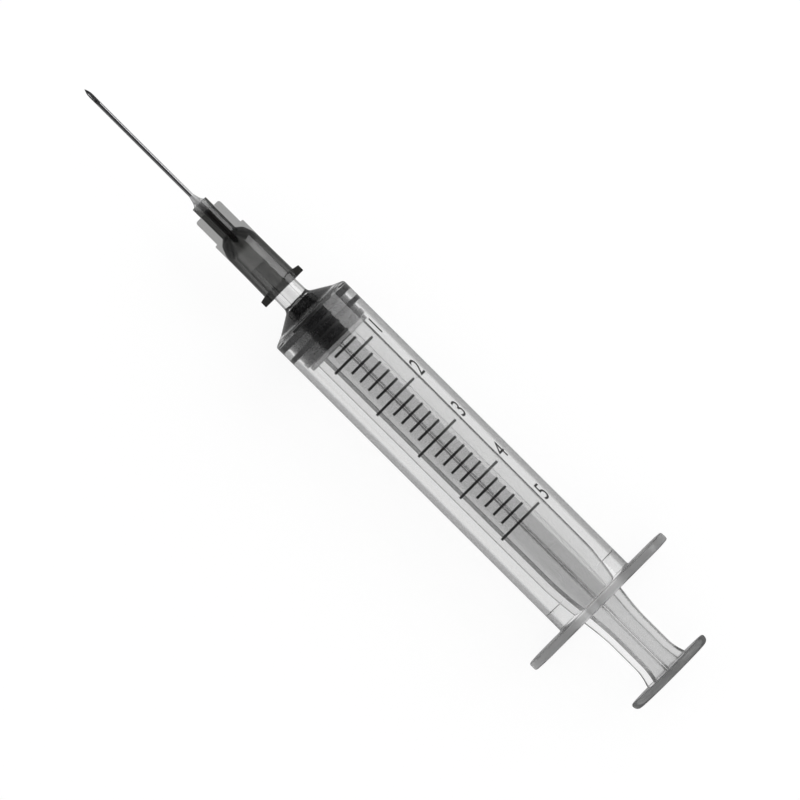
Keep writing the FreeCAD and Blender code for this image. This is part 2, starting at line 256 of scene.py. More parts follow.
world = bpy.data.worlds.new("studio")
world.use_nodes = True
bpy.context.scene.world = world
world_tree = world.node_tree
world_tree.nodes.clear()
world_output = add_node(world_tree, "ShaderNodeOutputWorld")
around = add_node(world_tree, "ShaderNodeBackground", Color=(1, 1, 1, 1), Strength=WORLD_LIGHT)
behind = add_node(world_tree, "ShaderNodeBackground")
heading = add_node(world_tree, "ShaderNodeTexCoord")
apart = add_node(world_tree, "ShaderNodeSeparateXYZ")
feed(world_tree, apart.inputs[0], heading.outputs["Generated"])
overhead = map_socket(world_tree, apart.outputs["Z"], 1.0, OVERHEAD_SHADE,
                      WHITE_FROM, DARK_FROM, "SMOOTHSTEP")
feed(world_tree, behind.inputs["Color"], overhead)
feed(world_tree, behind.inputs["Strength"], room_strength(world_tree))
room = mixed(world_tree, seen_directly(world_tree), around.outputs[0], behind.outputs[0])
feed(world_tree, world_output.inputs["Surface"], room)
print("world light", WORLD_LIGHT)

# %% [markdown]
# ## Lamps
# The shine on the black stopper shows where the photographer's lamps were: a large bright one
# on the side of the scale's numbers, a weaker one opposite, and nothing straight above. Two
# wide softboxes give those bands of light and soft shadows. They light and shine on surfaces,
# but are not seen through the clear plastic, where only the white room should show.

# %% Lamps
def softbox(name, place, size, power):
    """Square area lamp that faces the middle of the syringe."""
    lamp_data = bpy.data.lights.new(name, "AREA")
    lamp_data.shape = "SQUARE"
    lamp_data.size = size
    lamp_data.energy = power
    lamp = add_object(name, lamp_data)
    lamp.location = place
    aim = VIEW_CENTRE - Vector(place)
    lamp.rotation_euler = aim.to_track_quat("-Z", "Y").to_euler()
    lamp.visible_transmission = False


softbox("softbox_numbers_side", (0.05, 0.8, 0.45), 0.8, 6.4)
softbox("softbox_far_side", (-0.05, -0.8, 0.45), 0.8, 0.35)

# %% [markdown]
# ## Clear plastics
# The barrel and the rod are injection-moulded from clear plastic. Light that crosses a thin
# wall is hardly dimmed, but along the wall, or edge-on through the flange, it travels ten times
# as far and comes out grey. A volume that absorbs a little light per millimetre gives exactly
# that, which a painted grey edge would not do from other sides. The skin has real faults: long
# fine rubs from packing dull it in streaks, and it swells a little where the plastic shrank.
# Its colour also carries painted shade: it is painted darker where the skin leans away from the
# eye, and the rod's upper half is painted darker than its lower half. The rims of both discs
# are satin. Shadow rays pass through, so clear plastic does not throw the shadow of a solid
# piece.

# %% Clear plastic material
PLASTIC_IOR = 1.49
SATIN = 0.4
RUB_STRETCH = (120.0, 1500.0, 1500.0)
RUB_CONTRAST = (0.35, 0.75)
SWELL_HEIGHT = 0.03 * MM
SHADOW_TINT = (0.93, 0.93, 0.93, 1)


def axis_radius(tree):
    """Socket with the distance from the syringe's axis, from the piece's own coordinates."""
    centred = add_node(tree, "ShaderNodeVectorMath", operation="SUBTRACT")
    section = add_node(tree, "ShaderNodeVectorMath", operation="MULTIPLY")
    radius = add_node(tree, "ShaderNodeVectorMath", operation="LENGTH")
    feed(tree, centred.inputs[0], object_place(tree))
    feed(tree, centred.inputs[1], (0.0, 0.0, AXIS_Z))
    feed(tree, section.inputs[0], centred.outputs[0])
    feed(tree, section.inputs[1], (0.0, 1.0, 1.0))
    feed(tree, radius.inputs[0], section.outputs[0])
    return radius.outputs["Value"]


def painted_lean_shade(tree, radius, shades, clear_rings):
    """Socket with the skin's painted shade from two (lean, shade) stops; clear rings keep the
    first.
    """
    # Painted shade: the skin's colour turns darker where it leans away from the eye.
    lean = add_node(tree, "ShaderNodeLayerWeight", Blend=0.5)
    shade = add_node(tree, "ShaderNodeValToRGB")
    for stop, (place, value) in zip(shade.color_ramp.elements, shades):
        stop.position = place
        stop.color = (value, value, value, 1)
    feed(tree, shade.inputs["Fac"], lean.outputs["Facing"])
    picked = shade.outputs["Color"]
    for ring_radius, half_width in clear_rings:
        in_ring = math_socket(tree, "COMPARE", radius, ring_radius, half_width)
        pick = add_node(tree, "ShaderNodeMix", data_type="FLOAT")
        feed(tree, pick.inputs["Factor"], in_ring)
        feed(tree, pick.inputs["A"], picked)
        feed(tree, pick.inputs["B"], shades[0][1])
        picked = pick.outputs["Result"]
    return picked


def upper_half_painted_shade(tree, shade_factor):
    """Socket with the painted shade on the piece's upper half, and 1 on the lower half."""
    apart = add_node(tree, "ShaderNodeSeparateXYZ")
    feed(tree, apart.inputs[0], object_place(tree))
    # Painted shade: the upper half of the piece is darker than the lower half.
    upper = math_socket(tree, "GREATER_THAN", apart.outputs["Z"], AXIS_Z)
    return math_socket(tree, "MULTIPLY_ADD", upper, shade_factor - 1.0, 1.0)


def clear_plastic(name, colour, density, gloss_range, haze, haze_colour, shades,
                  clear_rings=(), satin_from=1.0, upper_shade_factor=1.0):
    """Clear moulded plastic: refracting skin with rubs and painted shade, light absorbed inside, a
    faint haze.
    """
    material, tree, output = new_material(name)
    radius = axis_radius(tree)
    rubs = object_noise(tree, 1.0, 5.0, RUB_STRETCH)
    gloss = map_socket(tree, rubs, *gloss_range, *RUB_CONTRAST)
    satin = math_socket(tree, "GREATER_THAN", radius, satin_from)
    # Painted shade in the skin's colour: darker where it leans away, and on the upper half.
    painted_shade = math_socket(tree, "MULTIPLY", painted_lean_shade(tree, radius, shades, clear_rings),
                       upper_half_painted_shade(tree, upper_shade_factor))
    shrink = add_node(tree, "ShaderNodeBump", Strength=0.25, Distance=SWELL_HEIGHT)
    skin = add_node(tree, "ShaderNodeBsdfPrincipled", IOR=PLASTIC_IOR, Transmission_Weight=1.0)
    cloud = add_node(tree, "ShaderNodeBsdfPrincipled", IOR=PLASTIC_IOR, Roughness=0.35)
    path = add_node(tree, "ShaderNodeLightPath")
    through = add_node(tree, "ShaderNodeBsdfTransparent", Color=SHADOW_TINT)
    absorb = add_node(tree, "ShaderNodeVolumeAbsorption", Color=colour, Density=density)
    feed(tree, shrink.inputs["Height"], object_noise(tree, 220.0, 1.0))
    feed(tree, skin.inputs["Base Color"], painted_shade)
    feed(tree, skin.inputs["Roughness"], math_socket(tree, "MULTIPLY_ADD", satin, SATIN, gloss))
    feed(tree, skin.inputs["Normal"], shrink.outputs["Normal"])
    feed(tree, cloud.inputs["Base Color"], haze_colour)
    body = mixed(tree, haze, skin.outputs[0], cloud.outputs[0])
    whole = mixed(tree, path.outputs["Is Shadow Ray"], body, through.outputs[0])
    feed(tree, output.inputs["Surface"], whole)
    feed(tree, output.inputs["Volume"], absorb.outputs[0])
    return material


# Each pair of (lean, shade) stops paints shade into the skin's colour: the barrel's edge band, the
# rod's rib tips, the hub's edges.
barrel_plastic = clear_plastic(
    "clear_barrel", (0.4, 0.4, 0.4, 1), 130.0, (0.01, 0.05), 0.004, (0.8, 0.8, 0.8, 1),
    ((0.46, 0.95), (0.54, 0.28)), clear_rings=((BORE_R, 0.4 * MM), (FLANGE_R, 0.05 * MM)),
    satin_from=BARREL_R + 0.4 * MM)
# The rod's upper half is painted darker than its lower half, a painted shade.
rod_plastic = clear_plastic(
    "clear_rod", (0.4, 0.4, 0.4, 1), 190.0, (0.08, 0.15), 0.02, (0.4, 0.4, 0.4, 1),
    ((0.52, 1.0), (0.6, 0.2)), satin_from=DISC_RIM_R, upper_shade_factor=0.73)
hub_plastic = clear_plastic(
    "smoky_hub", (0.06, 0.06, 0.05, 1), 1150.0, (0.03, 0.08), 0.03, (0.05, 0.05, 0.045, 1),
    ((0.4, 0.95), (0.5, 0.15)))
glue = clear_plastic(
    "clear_adhesive", (0.6, 0.6, 0.6, 1), 400.0, (0.02, 0.06), 0.3, (0.7, 0.7, 0.7, 1),
    ((0.46, 1.0), (0.56, 0.7)))
print("plastics", barrel_plastic.name, rod_plastic.name, hub_plastic.name, glue.name)

# %% [markdown]
# ## Rubber, steel and ink
# The stopper is black rubber with a satin skin from its mould. The needle is drawn stainless
# steel, so its fine scratches run along it. The scale is black ink, a little patchy.

# %% Rubber
def rubber_material():
    """Black rubber with a satin, slightly cloudy skin."""
    material, tree, output = new_material("black_rubber")
    cloud = object_noise(tree, 900.0, 3.0)
    grain = add_node(tree, "ShaderNodeBump", Strength=0.12, Distance=0.02 * MM)
    skin = add_node(tree, "ShaderNodeBsdfPrincipled", Base_Color=(0.005, 0.005, 0.0055, 1))
    feed(tree, grain.inputs["Height"], cloud)
    feed(tree, skin.inputs["Roughness"], map_socket(tree, cloud, 0.2, 0.34))
    feed(tree, skin.inputs["Normal"], grain.outputs["Normal"])
    feed(tree, output.inputs["Surface"], skin.outputs[0])
    return material


rubber = rubber_material()

# %% Steel
def steel_material():
    """Drawn stainless steel with fine lines along the tube."""
    material, tree, output = new_material("needle_steel")
    lines = object_noise(tree, 1.0, 4.0, (60.0, 4000.0, 4000.0))
    skin = add_node(tree, "ShaderNodeBsdfPrincipled", Metallic=1.0)
    feed(tree, skin.inputs["Base Color"], (0.33, 0.33, 0.34, 1))
    feed(tree, skin.inputs["Roughness"], map_socket(tree, lines, 0.22, 0.4))
    feed(tree, output.inputs["Surface"], skin.outputs[0])
    return material


steel = steel_material()

# %% Ink
def ink_material():
    """Black printing ink, a little patchy."""
    material, tree, output = new_material("scale_ink")
    skin = add_node(tree, "ShaderNodeBsdfPrincipled", Roughness=0.45)
    patches = object_noise(tree, 2500.0, 2.0)
    feed(tree, skin.inputs["Base Color"], map_socket(tree, patches, 0.002, 0.014))
    feed(tree, output.inputs["Surface"], skin.outputs[0])
    return material


ink = ink_material()
print("materials", len(bpy.data.materials))

# %% [markdown]
# ## Outlines with rounded corners
# A mould maker draws half of the section: corner points, each with its own round. The helper
# below turns such a list into a fine line, with every round as a true arc. Smooth shading would
# carry the bend of a round far along the straight wall beside it, and clear plastic would show
# that as a lens, so each long stretch also gets a point close to either end.

# %% Rounded outline
ARC_STEP = math.radians(12)
SUPPORT_FROM = 0.5 * MM
SUPPORT_INSET = 0.04 * MM


def rounded(points):
    """Points of the line through (x, y, corner radius) corners, with arcs at the rounds."""
    line = []
    for index, (x, y, radius) in enumerate(points):
        corner = Vector((x, y))
        if radius == 0:
            line.append(corner)
            continue
        back = (Vector(points[index - 1][:2]) - corner).normalized()
        ahead = (Vector(points[(index + 1) % len(points)][:2]) - corner).normalized()
        turn = math.pi - back.angle(ahead)
        centre = corner + (back + ahead).normalized() * radius / math.cos(turn / 2)
        entry = corner + back * radius * math.tan(turn / 2)
        leave = corner + ahead * radius * math.tan(turn / 2)
        steps = max(2, math.ceil(turn / ARC_STEP))
        start = entry - centre
        sweep = start.angle_signed(leave - centre)
        for step in range(steps + 1):
            part = -sweep * step / steps
            cosine, sine = math.cos(part), math.sin(part)
            turned = (start.x * cosine - start.y * sine, start.x * sine + start.y * cosine)
            line.append(centre + Vector(turned))
    return line


def with_supports(line):
    """The line with a point close to each end of a long stretch, where its shading settles."""
    supported = [line[0]]
    for start, end in zip(line, line[1:]):
        step = end - start
        if step.length > SUPPORT_FROM:
            inset = step.normalized() * SUPPORT_INSET
            supported += [start + inset, end - inset]
        supported.append(end)
    return supported


# %% [markdown]
# ## A lathe made of Geometry Nodes
# Nearly every piece here is turned about the syringe's axis. The rule is simple: take a grid,
# let each row stand for one point of the outline and each column for one angle, and move each
# point of the grid to its place. The tree samples the outline from the object that it sits on,
# so the same tree turns the barrel, the stopper, the glue and both ends of the rod.

# %% Lathe tree
def geometry_tree(name, inputs, output):
    """Geometry Nodes tree with (label, kind) inputs and one output, and its two end nodes."""
    tree = bpy.data.node_groups.new(name, "GeometryNodeTree")
    for label, kind in inputs:
        tree.interface.new_socket(label, in_out="INPUT", socket_type="NodeSocket" + kind)
    tree.interface.new_socket(output, in_out="OUTPUT", socket_type="NodeSocketGeometry")
    return tree, add_node(tree, "NodeGroupInput"), add_node(tree, "NodeGroupOutput")


def turned_place(tree, station, radius, angle, height, turns=("COSINE", "SINE")):
    """Socket with the place at a station, radius and angle; turns say where the angle starts."""
    place = add_node(tree, "ShaderNodeCombineXYZ")
    across, up = (math_socket(tree, turn, angle) for turn in turns)
    feed(tree, place.inputs["X"], station)
    feed(tree, place.inputs["Y"], math_socket(tree, "MULTIPLY", radius, across))
    feed(tree, place.inputs["Z"], math_socket(tree, "MULTIPLY_ADD", radius, up, height))
    return place.outputs[0]


def hand_out(tree, geometry, given, result):
    """Ends a tree: the geometry is made real, gets its material and leaves the tree."""
    realize = add_node(tree, "GeometryNodeRealizeInstances")
    finish = add_node(tree, "GeometryNodeSetMaterial")
    feed(tree, realize.inputs[0], geometry)
    feed(tree, finish.inputs["Geometry"], realize.outputs[0])
    feed(tree, finish.inputs["Material"], given.outputs["Finish"])
    feed(tree, result.inputs[0], finish.outputs[0])


def lathe_tree():
    """Geometry Nodes: turns an outline of (x, radius) points about the X axis."""
    inputs = (("Outline", "Geometry"), ("Segments", "Int"),
              ("Axis Height", "Float"), ("Finish", "Material"))
    tree, given, result = geometry_tree("lathe", inputs, "Turned")
    link = tree.links.new
    size = add_node(tree, "GeometryNodeAttributeDomainSize", component="MESH")
    grid = add_node(tree, "GeometryNodeMeshGrid")
    index = add_node(tree, "GeometryNodeInputIndex")
    corner = add_node(tree, "GeometryNodeInputPosition")
    sample = add_node(tree, "GeometryNodeSampleIndex", data_type="FLOAT_VECTOR", domain="POINT")
    apart = add_node(tree, "ShaderNodeSeparateXYZ")
    move = add_node(tree, "GeometryNodeSetPosition")
    merge = add_node(tree, "GeometryNodeMergeByDistance", Distance=WELD)
    link(given.outputs["Outline"], size.inputs["Geometry"])
    points, segments = size.outputs["Point Count"], given.outputs["Segments"]
    link(math_socket(tree, "ADD", segments, 1), grid.inputs["Vertices X"])
    link(points, grid.inputs["Vertices Y"])
    row = math_socket(tree, "MODULO", index.outputs[0], points)
    column = math_socket(tree, "FLOOR", math_socket(tree, "DIVIDE", index.outputs[0], points))
    angle = math_socket(tree, "MULTIPLY", math_socket(tree, "DIVIDE", column, segments), math.tau)
    link(given.outputs["Outline"], sample.inputs["Geometry"])
    link(corner.outputs[0], sample.inputs["Value"])
    link(row, sample.inputs["Index"])
    link(sample.outputs["Value"], apart.inputs[0])
    place = turned_place(tree, apart.outputs["X"], apart.outputs["Y"], angle,
                         given.outputs["Axis Height"])
    link(grid.outputs["Mesh"], move.inputs["Geometry"])
    link(place, move.inputs["Position"])
    link(move.outputs[0], merge.inputs["Geometry"])
    hand_out(tree, merge.outputs[0], given, result)
    return tree


LATHE = lathe_tree()
print("lathe tree with", len(LATHE.nodes), "nodes")

# %% [markdown]
# ## From a tree to a finished piece
# A modifier's inputs are set by their identifiers. The evaluated object is copied into a plain
# mesh, its faces are turned outwards, and edges sharper than 30 degrees stay crisp while all
# other faces are shaded smooth, as on a polished moulding.

# %% Finished pieces
SHARP = math.radians(30)


def set_input(modifier, name, value):
    """Sets a Geometry Nodes input by the identifier that belongs to its name."""
    for item in modifier.node_group.interface.items_tree:
        if item.item_type == "SOCKET" and item.in_out == "INPUT" and item.name == name:
            modifier[item.identifier] = value


def evaluated_mesh(name, obj):
    """Plain mesh of an object with its modifiers; the object itself is then removed."""
    bpy.context.view_layer.update()
    graph = bpy.context.evaluated_depsgraph_get()
    mesh = bpy.data.meshes.new_from_object(obj.evaluated_get(graph))
    mesh.name = name
    bpy.data.objects.remove(obj)
    return mesh


def tidy_mesh(mesh):
    """Faces outwards, smooth shading, and crisp edges only where the form has them."""
    work = bmesh.new()
    work.from_mesh(mesh)
    bmesh.ops.remove_doubles(work, verts=work.verts, dist=WELD)
    bmesh.ops.recalc_face_normals(work, faces=work.faces)
    for face in work.faces:
        face.smooth = True
    for edge in work.edges:
        edge.smooth = edge.calc_face_angle(0) < SHARP
    work.to_mesh(mesh)
    work.free()
    return mesh


def turned_mesh(name, points, material, segments=128):
    """Mesh turned on the lathe from (x, radius, corner radius) points in metres."""
    line = with_supports(rounded(points))
    outline = bpy.data.meshes.new(name + "_outline")
    edges = [(i, i + 1) for i in range(len(line) - 1)]
    outline.from_pydata([(p.x, p.y, 0) for p in line], edges, [])
    blank = add_object(name + "_blank", outline)
    modifier = blank.modifiers.new("lathe", "NODES")
    modifier.node_group = LATHE
    set_input(modifier, "Segments", segments)
    set_input(modifier, "Axis Height", AXIS_Z)
    set_input(modifier, "Finish", material)
    mesh = evaluated_mesh(name, blank)
    tidy_mesh(mesh)
    print(name, len(mesh.polygons), "faces")
    return mesh


def finished(name, mesh, body, slot, *nodes):
    """Object of a finished mesh that rides on its body and stands for its CAD nodes."""
    obj = add_object(name, mesh)
    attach(obj, body)
    if nodes:
        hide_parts(*nodes)


# %% [markdown]
# ## Barrel
# The barrel is one moulding: a tapered nozzle with its channel, a coned shoulder, a long thin
# tube, a bead that stops the plunger from falling out, and the finger flange. The lathe turns
# all of it. The flange is then a disc with two flats and rounded corners, so its ring of points
# is pulled in to that outline, which a formula gives for each angle.

# %% Barrel sizes
NOZZLE_ROOT_X = HUB_MOUTH + 2.5 * MM
FLANGE_FRONT = FLANGE_REAR - 1.4 * MM
FLANGE_HALF_WIDTH = AXIS_Z
FLANGE_CORNER = 2.5 * MM
FLANGE_EDGE = 0.32 * MM
FLANGE_ROOT = 0.45 * MM
CHANNEL_R = 1.0 * MM
NOZZLE_TIP_R = 1.969 * MM
NOZZLE_ROOT_R = 2.2 * MM
BORE_FLOOR = NOZZLE_ROOT_X + 0.65 * MM
BORE_START = BORE_FLOOR + 2.25 * MM
BEAD_X = FLANGE_FRONT - 3.1 * MM

BARREL_OUTSIDE = [
    (NOZZLE_TIP, CHANNEL_R, 0),
    (NOZZLE_TIP, NOZZLE_TIP_R, 0.12 * MM),
    (NOZZLE_ROOT_X, NOZZLE_ROOT_R, 1.0 * MM),
    (NOZZLE_ROOT_X + 0.325 * MM, 2.55 * MM, 0.15 * MM),
    (NOZZLE_ROOT_X + 2.025 * MM, 5.35 * MM, 0.5 * MM),
    (NOZZLE_ROOT_X + 2.75 * MM, BARREL_R, 0.5 * MM),
    (FLANGE_FRONT, BARREL_R, FLANGE_ROOT),
    (FLANGE_FRONT, FLANGE_R, FLANGE_EDGE),
    (FLANGE_REAR, FLANGE_R, FLANGE_EDGE),
]
BARREL_INSIDE = [
    (FLANGE_REAR, BORE_R + 0.3 * MM, 0.12 * MM),
    (BEAD_X, BORE_R - 0.08 * MM, 0),
    (BEAD_X - 0.12 * MM, BORE_R, 0),
    (BORE_START, BORE_R, 0.6 * MM),
    (BORE_FLOOR, CHANNEL_R, 0.1 * MM),
    (NOZZLE_TIP, CHANNEL_R, 0),
]


# %% Flange outline
def flange_reach(angle, inset):
    """Radius of the flange's outline at an angle about the axis, taken in by an inset."""
    outer = FLANGE_R - inset
    half_width = FLANGE_HALF_WIDTH - inset
    corner = FLANGE_CORNER - inset
    centre_z = half_width - corner
    centre_y = math.sqrt((outer - corner) ** 2 - centre_z ** 2)
    side, height = abs(math.cos(angle)), abs(math.sin(angle))
    on_flat = half_width / height if height > 1e-9 else math.inf
    if on_flat * side <= centre_y:
        return on_flat
    if math.atan2(height, side) <= math.atan2(centre_z, centre_y):
        return outer
    along = centre_y * side + centre_z * height
    return along + math.sqrt(along ** 2 - (centre_y ** 2 + centre_z ** 2) + corner ** 2)


def pull_in_flange(mesh):
    """Moves each point of the turned flange disc in to the real flange's outline."""
    moved = 0
    for vertex in mesh.vertices:
        y, z = vertex.co.y, vertex.co.z - AXIS_Z
        radius = math.hypot(y, z)
        if vertex.co.x < FLANGE_FRONT - 0.01 * MM or radius < BARREL_R + FLANGE_ROOT * 1.2:
            continue
        share = flange_reach(math.atan2(z, y), FLANGE_R - radius) / radius
        vertex.co.y = y * share
        vertex.co.z = AXIS_Z + z * share
        moved += 1
    print("flange points moved", moved)


barrel_points = BARREL_OUTSIDE + BARREL_INSIDE
barrel_mesh = turned_mesh("barrel_clear", barrel_points, barrel_plastic, segments=256)
pull_in_flange(barrel_mesh)
finished("barrel_clear", barrel_mesh, "barrel", "clear_barrel", "barrel")

# %% [markdown]
# ## Rubber stopper
# The stopper seals with two ribs that press on the bore, and a third guides its rear end. The
# rubber is soft, so every rib has a round crest. Where rubber is pressed on the plastic there is
# no film of air between them, so the eye sees straight to the black: that is why the ribs show
# as black spots in the bright edge of the barrel, and why the shoulder looks dark. The pressed
# places reach 0.02 mm into the wall here, which leaves no air and no gap to see.

# %% Stopper
PRESS = 0.02 * MM
STOPPER_R = BORE_R + PRESS
GUIDE_R = BORE_R - 0.13 * MM
WAIST_R = 5.74 * MM
CREST_ROUND = 0.16 * MM
PRESSED_FACE = (1.5 * MM, 5.0 * MM)
FACE_SLOPE = (BORE_START - BORE_FLOOR) / (BORE_R - CHANNEL_R)


def pressed_face(radius):
    """Station of the coned face where it is pressed on the barrel's floor."""
    return BORE_FLOOR + (radius - CHANNEL_R) * FACE_SLOPE - PRESS


def rib_outline(start, length, crest_r):
    """Corners of one rounded rib, counted from the stopper's face."""
    front = STOPPER_FRONT + start
    rear = front + length
    ramp = 0.15 * MM
    return [
        (front - ramp, WAIST_R, 0.08 * MM),
        (front, crest_r, CREST_ROUND),
        (rear, crest_r, CREST_ROUND),
        (rear + ramp, WAIST_R, 0.08 * MM),
    ]


stopper_points = (
    [(STOPPER_FRONT, 0, 0), (STOPPER_FRONT, 0.9 * MM, 0.3 * MM)]
    + [(pressed_face(radius), radius, 0) for radius in PRESSED_FACE]
    + [(pressed_face(5.4 * MM) + 0.15 * MM, 5.4 * MM, 0.1 * MM)]
    + rib_outline(2.45 * MM, 1.0 * MM, STOPPER_R)[1:]
    + rib_outline(4.7 * MM, 0.8 * MM, STOPPER_R)
    + rib_outline(6.6 * MM, 0.75 * MM, GUIDE_R)[:3]
    + [(STOPPER_REAR, WAIST_R, 0.1 * MM), (STOPPER_REAR, 2.35 * MM, 0)]
    + [(STOPPER_REAR - 1.65 * MM, 2.35 * MM, 0), (STOPPER_REAR - 1.65 * MM, 3.35 * MM, 0)]
    + [(STOPPER_REAR - 2.3 * MM, 3.35 * MM, 0), (STOPPER_REAR - 4.25 * MM, 1.65 * MM, 0)]
    + [(STOPPER_REAR - 4.25 * MM, 0, 0)]
)
finished(
    "stopper_rubber", turned_mesh("stopper_rubber", stopper_points, rubber),
    "stopper", "black_rubber", "plunger_stopper",
)

# %% [markdown]
# ## Plunger rod
# The rod's crossed ribs leave the mould by sliding out sideways, so they taper slightly. Near
# the thumb disc they sweep down to a waist and flare again at the disc. The cross-section is
# the same everywhere except for the ribs' reach, so the piece is built ring by ring: one closed
# cross, whose tips move out and in along the rod. Discs and snap head are turned on the lathe
# and joined to the ribs by a boolean union, so the plastic is one body inside too.

# %% Rod's reach along its length
ROD_FRONT = STOPPER_REAR + 0.8 * MM
THUMB_FRONT = THUMB_REAR - 1.3 * MM
THUMB_R = AXIS_Z - 0.45 * MM
RIB_THICKNESS = 0.70 * MM
RIB_FRONT_R = BORE_R - 0.5 * MM
RIB_DRAFT = 0.003
ROD_WAIST_R = 3.73 * MM
WAIST_X = THUMB_FRONT - 7.5 * MM
SHOULDER_X = WAIST_X - 14.4 * MM
FLARE_X = THUMB_FRONT - 3.1 * MM
FLARE_RISE = 0.8 * MM
RIB_TURN = math.radians(57)


def rib_reach(x):
    """How far the ribs stand out from the axis at a station."""
    if x <= SHOULDER_X:
        return RIB_FRONT_R - RIB_DRAFT * (x - ROD_FRONT)
    shoulder_r = RIB_FRONT_R - RIB_DRAFT * (SHOULDER_X - ROD_FRONT)
    if x < WAIST_X:
        part = (x - SHOULDER_X) / (WAIST_X - SHOULDER_X)
        ease = part * part * (3 - 2 * part)
        return shoulder_r + (ROD_WAIST_R - shoulder_r) * ease
    if x < FLARE_X:
        return ROD_WAIST_R
    part = (x - FLARE_X) / (THUMB_FRONT - FLARE_X)
    return ROD_WAIST_R + FLARE_RISE * part * part


# %% Crossed ribs
ROOT_FILLET = 0.2 * MM
TIP_ROUND = 0.15 * MM
SINK = 0.1 * MM
ARC_PARTS = 4
STRAIGHT_RINGS = 8
SWEPT_RINGS = 40


def quarter_arc(middle, radius, first, sweep):
    """Points of an arc about a middle, from a first angle and a sweep in degrees."""
    turns = [math.radians(first + sweep * step / ARC_PARTS) for step in range(ARC_PARTS + 1)]
    return [(middle[0] + radius * math.cos(t), middle[1] + radius * math.sin(t)) for t in turns]


def cross_ring(reach):
    """Points of the cross-section: four rib tips with small rounds and filleted roots."""
    half = RIB_THICKNESS / 2
    inner = half - TIP_ROUND
    tip = reach - TIP_ROUND
    centre = half + ROOT_FILLET
    settled = (centre + SUPPORT_INSET, tip - SUPPORT_INSET)
    quarter = [(settled[0], -half), (settled[1], -half)]
    quarter += quarter_arc((tip, -inner), TIP_ROUND, -90, 90)
    quarter += quarter_arc((tip, inner), TIP_ROUND, 0, 90)
    quarter += [(settled[1], half), (settled[0], half)]
    quarter += quarter_arc((centre, centre), ROOT_FILLET, 270, -90)
    ring = []
    for cosine, sine in ((1, 0), (0, 1), (-1, 0), (0, -1)):
        ring += [(u * cosine - v * sine, u * sine + v * cosine) for u, v in quarter]
    return ring


def crossed_ribs_mesh(material):
    """Closed mesh of the crossed ribs, from the head disc to the thumb disc."""
    straight, swept = SHOULDER_X - ROD_FRONT, THUMB_FRONT + SINK - SHOULDER_X
    stations = [ROD_FRONT - SINK + straight * i / STRAIGHT_RINGS for i in range(STRAIGHT_RINGS + 1)]
    stations += [SHOULDER_X + swept * i / SWEPT_RINGS for i in range(1, SWEPT_RINGS + 1)]
    work = bmesh.new()
    rings = []
    for x in stations:
        reach = rib_reach(min(max(x, ROD_FRONT), THUMB_FRONT))
        ring = []
        for u, v in cross_ring(reach):
            y = u * math.sin(RIB_TURN) + v * math.cos(RIB_TURN)
            z = u * math.cos(RIB_TURN) - v * math.sin(RIB_TURN)
            ring.append(work.verts.new((x, y, AXIS_Z + z)))
        rings.append(ring)
    for ring, following in zip(rings, rings[1:]):
        for i in range(len(ring)):
            j = (i + 1) % len(ring)
            work.faces.new((ring[i], ring[j], following[j], following[i]))
    work.faces.new(rings[0])
    work.faces.new(list(reversed(rings[-1])))
    mesh = bpy.data.meshes.new("crossed_ribs")
    work.to_mesh(mesh)
    work.free()
    mesh.materials.append(material)
    return tidy_mesh(mesh)


def combined_mesh(name, first, steps):
    """One closed mesh: the first one, then each (operation, mesh) step as an exact boolean."""
    base = add_object(name + "_base", first)
    helpers = []
    for operation, mesh in steps:
        helper = add_object(mesh.name + "_helper", mesh)
        modifier = base.modifiers.new("combine", "BOOLEAN")
        modifier.operation = operation
        modifier.solver = "EXACT"
        modifier.object = helper
        helpers.append(helper)
    mesh = evaluated_mesh(name, base)
    for helper in helpers:
        bpy.data.objects.remove(helper)
    tidy_mesh(mesh)
    print(name, len(mesh.polygons), "faces")
    return mesh


# %% Rod's discs and head
HEAD_DISC_FRONT = STOPPER_REAR + 0.05 * MM
HEAD_DISC_R = 5.6 * MM
NECK_R = 2.3 * MM
BULB_R = 3.3 * MM
NECK_FRONT = HEAD_DISC_FRONT - 1.75 * MM

head_points = [
    (NECK_FRONT - 2.5 * MM, 0, 0),
    (NECK_FRONT - 2.5 * MM, 1.6 * MM, 0.2 * MM),
    (NECK_FRONT - 0.6 * MM, BULB_R, 0.2 * MM),
    (NECK_FRONT, BULB_R, 0.1 * MM),
    (NECK_FRONT, NECK_R, 0),
    (HEAD_DISC_FRONT, NECK_R, 0),
    (HEAD_DISC_FRONT, HEAD_DISC_R, 0.12 * MM),
    (ROD_FRONT, HEAD_DISC_R, 0.12 * MM),
    (ROD_FRONT, 0, 0),
]
thumb_points = [
    (THUMB_FRONT, 0, 0),
    (THUMB_FRONT, THUMB_R, 0.35 * MM),
    (THUMB_REAR, THUMB_R, 0.85 * MM),
    (THUMB_REAR, 0, 0),
]
rod_mesh = combined_mesh("rod_clear", crossed_ribs_mesh(rod_plastic), [
    ("UNION", turned_mesh("rod_head", head_points, rod_plastic)),
    ("UNION", turned_mesh("rod_thumb_disc", thumb_points, rod_plastic)),
])
finished("rod_clear", rod_mesh, "plunger", "clear_rod", "plunger_rod")

# %% [markdown]
# ## Needle hub
# The hub is one smoky moulding: a boss that holds the tube, four fins for the fingers, a round
# shoulder, and a mouth with two lugs. Turned body and flat fins are joined, then everything
# hollow is cut away in one go, as the core pin of the mould does: the well for the glue, the
# hole for the tube, and the tapered socket for the nozzle.

# %% Hub sizes
SOCKET_MOUTH_R = 2.145 * MM
SOCKET_SLOPE = 0.03
HUB_R = SOCKET_MOUTH_R + 0.8 * MM
HUB_DRAFT = 0.017
BOSS_R = 1.35 * MM
BOSS_END = HUB_FACE + 6.2 * MM
BODY_START = BOSS_END + 2.7 * MM
COLLAR_FRONT = HUB_MOUTH - 1.25 * MM
SOCKET_FLOOR = HUB_MOUTH - 8.3 * MM
TUBE_GRIP_R = 0.33 * MM
CUT_CLEAR = 0.1 * MM

